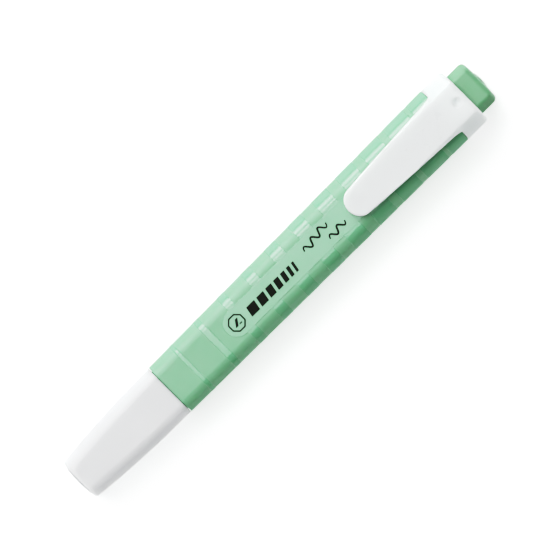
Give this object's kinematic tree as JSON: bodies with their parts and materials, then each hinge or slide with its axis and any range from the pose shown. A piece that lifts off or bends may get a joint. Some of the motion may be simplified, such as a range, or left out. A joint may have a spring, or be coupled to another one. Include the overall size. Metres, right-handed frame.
{
  "type": "highlighter",
  "caption": "Slim octagonal pocket highlighter with a pull-off cap, banded barrel, spring clip, felt chisel nib and fibre ink core.",
  "frame": {"origin": "on the plane of the flat back, under the middle of the pen's length and width", "axes": "+X along the pen from the cap's end to the tail, +Z out of the clip side, Z = 0 is the flat back"},
  "size_m": [0.13, 0.0156, 0.0135],
  "materials": {
    "white_cap": "satin polypropylene",
    "white_liner": "milky polyethylene",
    "mint_barrel": "satin polypropylene with polished bands",
    "felt_nib": "felt soaked with ink",
    "fibre_core": "fibre soaked with ink",
    "clear_film": "clear film",
    "green_plug": "satin polypropylene",
    "white_clip": "satin polypropylene"
  },
  "bodies": {
    "barrel": {"barrel": "mint_barrel", "nib": "felt_nib", "ink_reservoir": "fibre_core", "reservoir_film": "clear_film", "end_plug": "green_plug", "clip_ring": "white_clip"},
    "cap": {"cap_shell": "white_cap", "inner_cap": "white_liner"},
    "clip": {"clip_arm": "white_clip"}
  },
  "joints": [
    {"name": "cap_pull", "type": "slide", "parent": "barrel", "child": "cap", "axis": [-1, 0, 0], "range_m": [0, 0.04]},
    {"name": "clip_flex", "type": "hinge", "parent": "barrel", "child": "clip", "pos_m": [0.05227, 0, 0.01349], "axis": [0, 1, 0], "range_deg": [0, 6], "stiffness_Nm_per_rad": 0.3}
  ]
}
